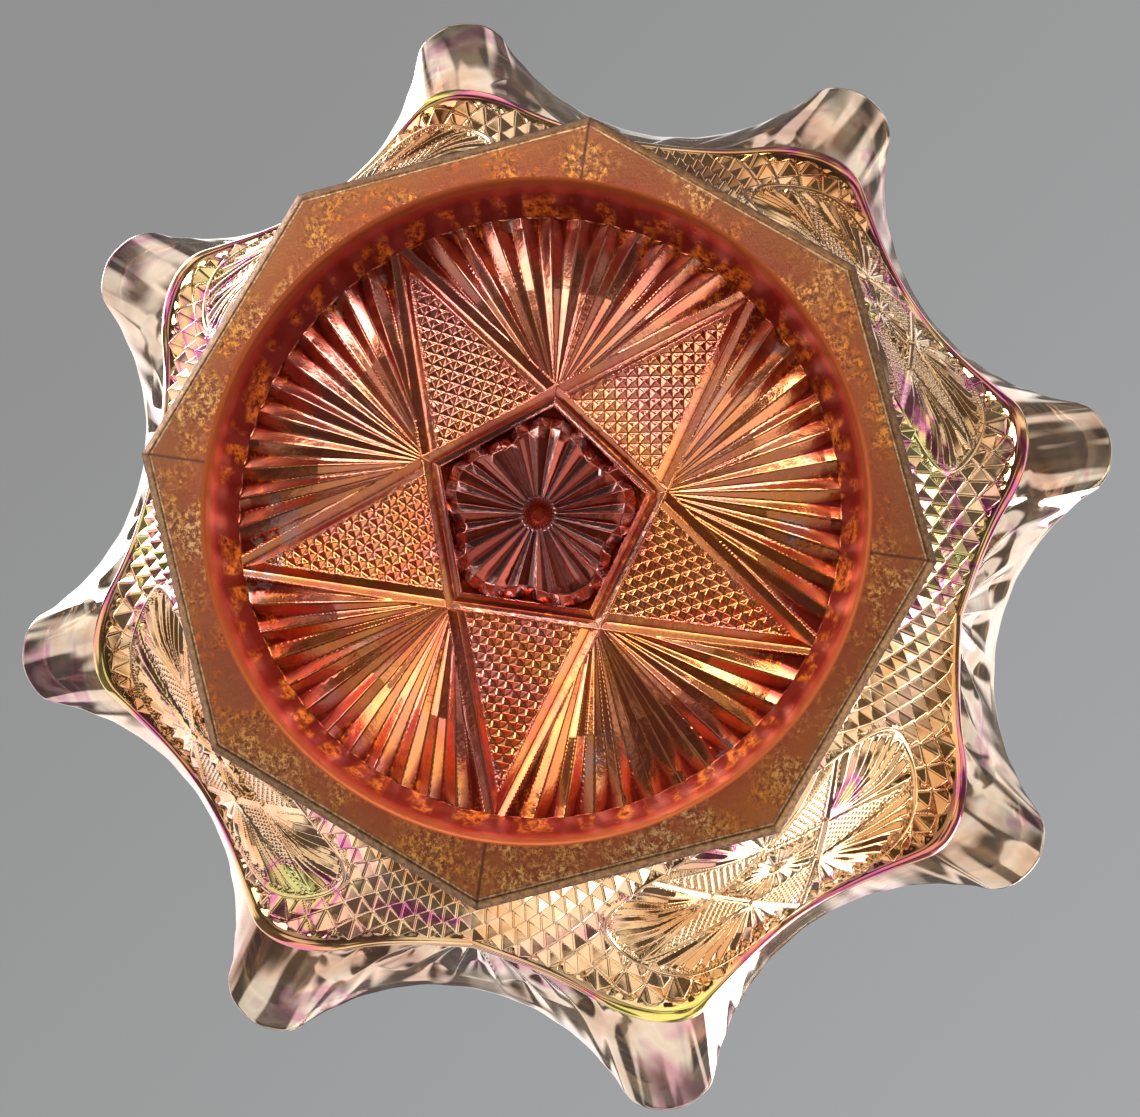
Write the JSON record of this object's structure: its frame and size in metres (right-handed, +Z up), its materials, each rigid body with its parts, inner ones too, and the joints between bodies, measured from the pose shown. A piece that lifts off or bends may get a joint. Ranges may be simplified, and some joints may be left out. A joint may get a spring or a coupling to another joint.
{
  "type": "ruffled glass bowl",
  "caption": "Footed pressed-glass bowl with a lobed ruffled rim, cut-star base and an octagonal foot ring that it stands on.",
  "frame": {"origin": "centre of the foot's flat resting face", "axes": "+Z up along the bowl's axis from the foot to the rim; the foot's flats face +X and +Y"},
  "size_m": [0.2154, 0.2154, 0.0898],
  "materials": {
    "foot_glass": "marigold lustre with gold flecks",
    "star_glass": "deep marigold iridescent lustre",
    "wall_glass": "champagne iridescent lustre",
    "rim_glass": "clear smoky iridescent lustre"
  },
  "bodies": {
    "root": {"foot_ring": "foot_glass", "star_base": "star_glass", "patterned_wall": "wall_glass", "ruffled_rim": "rim_glass"}
  },
  "joints": []
}
